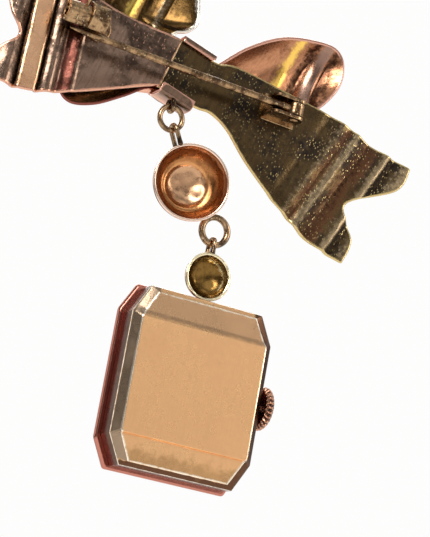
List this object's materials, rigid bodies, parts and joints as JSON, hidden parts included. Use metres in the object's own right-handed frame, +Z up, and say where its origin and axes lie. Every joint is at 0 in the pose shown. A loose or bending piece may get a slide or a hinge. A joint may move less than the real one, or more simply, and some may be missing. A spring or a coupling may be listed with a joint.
{
  "type": "fob watch",
  "caption": "Fob watch seen from the back: a ribbon-bow brooch with a pin and safety catch carries two small domes on rings and an octagonal watch with its winding crown.",
  "frame": {"origin": "middle of the brooch pin, on the pin's axis, where cloth lies on it", "axes": "+Y is the back, towards the wearer; -Y is the dial and the bow's front; +Z is up as it is worn; +X is the wearer's right seen from behind the brooch"},
  "size_m": [0.0513, 0.0083, 0.0591],
  "materials": {
    "bow_sheet": "patinated inside face, rolled ripples",
    "bow_leaf": "dished leaf, tarnished hollow, bright rim",
    "bow_knot": "worn rose gilt",
    "pin_metal": "polished pin and fittings",
    "chain_metal": "polished wire",
    "dome_rose": "satin rose gilt",
    "dome_gold": "satin gilt",
    "case_satin": "brushed rose gilt",
    "case_polish": "polished rose gilt",
    "crown_metal": "ridged gilt",
    "crystal": "clear domed glass",
    "dial_metal": "pale satin dial",
    "hand_metal": "dark blued hands",
    "plate_metal": "matt gilt plate",
    "bridge_metal": "nickel-plated bridges",
    "wheel_brass": "gilt wheels",
    "balance_metal": "polished balance rim",
    "steel": "polished steel",
    "spring_steel": "blued spring strip"
  },
  "bodies": {
    "bow": {"right_tail": "bow_sheet", "left_tail": "bow_sheet", "right_loop": "bow_leaf", "upper_loop": "bow_leaf", "lower_leaf": "bow_leaf", "knot": "bow_knot", "bow_bail": "chain_metal", "pin_bracket": "pin_metal", "pin_rivet": "pin_metal", "catch_housing": "pin_metal"},
    "pin": {"pin_stem": "pin_metal"},
    "catch_roller": {"catch_roller": "pin_metal"},
    "jump_ring": {"jump_ring": "chain_metal"},
    "dome_link": {"big_dome": "dome_rose", "big_dome_loop": "chain_metal", "big_dome_ring": "chain_metal"},
    "watch": {"small_dome": "dome_gold", "small_dome_loop": "chain_metal", "case_middle": "case_polish", "bezel": "case_polish", "crystal": "crystal", "dial": "dial_metal", "mainplate": "plate_metal", "barrel_bridge": "bridge_metal", "train_bridge": "bridge_metal", "balance_cock": "bridge_metal", "crown_wheel_screw": "steel"},
    "case_back": {"case_back": "case_satin"},
    "clutch": {"clutch_wheel": "steel"},
    "crown": {"crown": "crown_metal", "winding_stem": "steel"},
    "winding_pinion": {"winding_pinion": "steel"},
    "crown_wheel": {"crown_wheel": "steel"},
    "ratchet": {"ratchet_wheel": "steel", "barrel_arbor": "steel"},
    "click": {"click": "steel"},
    "barrel": {"barrel_drum": "wheel_brass", "mainspring": "spring_steel"},
    "centre": {"centre_wheel": "wheel_brass", "centre_pinion": "steel"},
    "third": {"third_wheel": "wheel_brass", "third_pinion": "steel"},
    "fourth": {"fourth_wheel": "wheel_brass", "fourth_pinion": "steel"},
    "escape": {"escape_wheel": "steel", "escape_pinion": "steel"},
    "pallet": {"pallet_fork": "steel"},
    "balance": {"balance_wheel": "balance_metal", "balance_staff": "steel", "hairspring": "spring_steel"},
    "cannon": {"cannon_pinion": "steel", "minute_hand": "hand_metal"},
    "minute": {"minute_wheel": "wheel_brass", "minute_pinion": "steel"},
    "hour": {"hour_wheel": "wheel_brass", "hour_hand": "hand_metal"}
  },
  "joints": [
    {"name": "pin_swing", "type": "hinge", "parent": "bow", "child": "pin", "pos_m": [-0.01294, 0, -0.00306], "axis": [-0.23, 0, 0.9732], "range_deg": [0, 100]},
    {"name": "catch_turn", "type": "hinge", "parent": "bow", "child": "catch_roller", "pos_m": [0.0103, 0, 0.00423], "axis": [0.9732, 0, 0.23], "range_deg": [0, 100]},
    {"name": "ring_swing", "type": "hinge", "parent": "bow", "child": "jump_ring", "pos_m": [0.00063, -0.0025, -0.00328], "axis": [1, 0, 0], "range_deg": [-30, 30]},
    {"name": "dome_swing", "type": "hinge", "parent": "jump_ring", "child": "dome_link", "pos_m": [0.00063, -0.0025, -0.00475], "axis": [0, 1, 0], "range_deg": [-45, 16]},
    {"name": "watch_swing", "type": "hinge", "parent": "dome_link", "child": "watch", "pos_m": [-0.0045, -0.0025, -0.0165], "axis": [0, 1, 0], "range_deg": [-40, 30]},
    {"name": "back_lift", "type": "slide", "parent": "watch", "child": "case_back", "axis": [0, 1, 0], "range_m": [0, 0.012]},
    {"name": "crown_turn", "type": "hinge", "parent": "watch", "child": "clutch", "pos_m": [-0.00943, -0.0022, -0.03517], "axis": [0.981, 0, 0.1942], "continuous": true},
    {"name": "crown_pull", "type": "slide", "parent": "clutch", "child": "crown", "axis": [-0.981, 0, -0.1942], "range_m": [0, 0.0007]},
    {"name": "winding_pinion_turn", "type": "hinge", "parent": "watch", "child": "winding_pinion", "pos_m": [-0.00529, -0.0022, -0.03435], "axis": [0.981, 0, 0.1942], "continuous": true},
    {"name": "crown_wheel_turn", "type": "hinge", "parent": "watch", "child": "crown_wheel", "pos_m": [-0.00356, -0.00074, -0.03401], "axis": [0, 1, 0], "continuous": true},
    {"name": "ratchet_turn", "type": "hinge", "parent": "watch", "child": "ratchet", "pos_m": [-0.0009, -0.00074, -0.03025], "axis": [0, 1, 0], "continuous": true},
    {"name": "click_lift", "type": "hinge", "parent": "watch", "child": "click", "pos_m": [0.00216, -0.00074, -0.02873], "axis": [0, -1, 0], "range_deg": [0, 12], "stiffness_Nm_per_rad": 0.000002, "springref_deg": -5.73},
    {"name": "fourth_turn", "type": "hinge", "parent": "watch", "child": "fourth", "pos_m": [0.0005, -0.0021, -0.03593], "axis": [0, 1, 0], "continuous": true},
    {"name": "escape_turn", "type": "hinge", "parent": "watch", "child": "escape", "pos_m": [-0.00089, -0.00165, -0.0369], "axis": [0, 1, 0], "continuous": true},
    {"name": "third_turn", "type": "hinge", "parent": "watch", "child": "third", "pos_m": [0.00163, -0.0013, -0.03424], "axis": [0, 1, 0], "continuous": true},
    {"name": "centre_turn", "type": "hinge", "parent": "watch", "child": "centre", "pos_m": [-0.00097, -0.0016, -0.0335], "axis": [0, 1, 0], "continuous": true},
    {"name": "barrel_turn", "type": "hinge", "parent": "watch", "child": "barrel", "pos_m": [-0.0009, -0.0022, -0.03025], "axis": [0, 1, 0], "continuous": true},
    {"name": "pallet_rock", "type": "hinge", "parent": "watch", "child": "pallet", "pos_m": [-0.00177, -0.00165, -0.03789], "axis": [0, 1, 0], "range_deg": [-5, 5]},
    {"name": "balance_swing", "type": "hinge", "parent": "watch", "child": "balance", "pos_m": [-0.00262, -0.0012, -0.03882], "axis": [0, 1, 0], "range_deg": [-130, 130], "stiffness_Nm_per_rad": 0.000000008},
    {"name": "cannon_turn", "type": "hinge", "parent": "watch", "child": "cannon", "pos_m": [-0.00097, -0.0032, -0.0335], "axis": [0, 1, 0], "continuous": true},
    {"name": "minute_wheel_turn", "type": "hinge", "parent": "watch", "child": "minute", "pos_m": [-0.0013, -0.0032, -0.03185], "axis": [0, 1, 0], "continuous": true},
    {"name": "hour_turn", "type": "hinge", "parent": "watch", "child": "hour", "pos_m": [-0.00097, -0.0034, -0.0335], "axis": [0, 1, 0], "continuous": true}
  ],
  "couplings": [
    {"joint": "winding_pinion_turn", "follows": "crown_turn", "ratio": 1},
    {"joint": "crown_wheel_turn", "follows": "crown_turn", "ratio": 0.7},
    {"joint": "ratchet_turn", "follows": "crown_turn", "ratio": -0.4375},
    {"joint": "escape_turn", "follows": "fourth_turn", "ratio": -10},
    {"joint": "third_turn", "follows": "fourth_turn", "ratio": -0.13333},
    {"joint": "centre_turn", "follows": "fourth_turn", "ratio": 0.016667},
    {"joint": "barrel_turn", "follows": "fourth_turn", "ratio": -0.0027778},
    {"joint": "minute_wheel_turn", "follows": "cannon_turn", "ratio": -0.33333},
    {"joint": "hour_turn", "follows": "cannon_turn", "ratio": 0.083333}
  ]
}
